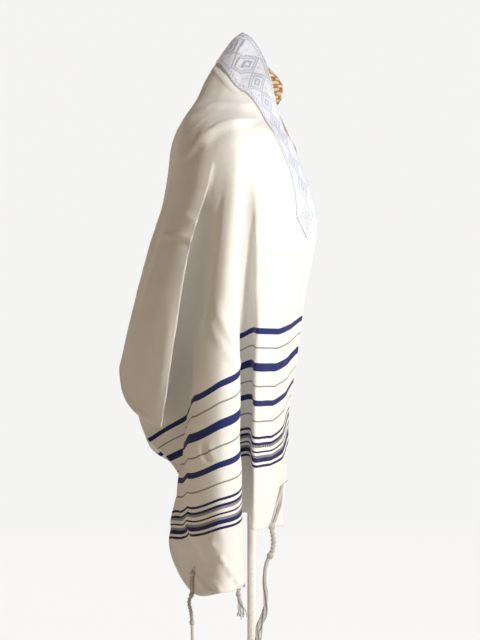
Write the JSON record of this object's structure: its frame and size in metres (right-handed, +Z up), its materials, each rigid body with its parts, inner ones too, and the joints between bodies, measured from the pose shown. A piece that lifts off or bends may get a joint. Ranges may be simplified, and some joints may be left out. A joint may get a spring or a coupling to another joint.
{
  "type": "tallit prayer shawl on a limbless dress form",
  "caption": "Striped wool prayer shawl with a brocade neckband and corner fringes, draped over the head and shoulders of a limbless cane dress form on a pole.",
  "frame": {"origin": "middle of the underside of the form's round base", "axes": "+Z up, +X the way the form faces, +Y its left side"},
  "size_m": [0.39, 0.5117, 1.2541],
  "materials": {
    "wool": "plain woven wool, off-white, with stripes in blue, navy, grey and silver",
    "brocade": "woven brocade with a silver sheen",
    "fringe_yarn": "twisted wool strands",
    "cane": "woven cane, satin",
    "painted_metal": "semi-matt off-white paint"
  },
  "bodies": {
    "root": {"shawl_cloth": "wool", "neckband": "brocade", "fringe_right_front": "fringe_yarn", "fringe_right_back": "fringe_yarn", "fringe_left_front": "fringe_yarn", "fringe_left_back": "fringe_yarn", "form_torso": "cane", "form_head": "cane", "form_pole": "painted_metal", "form_base": "painted_metal"}
  },
  "joints": []
}
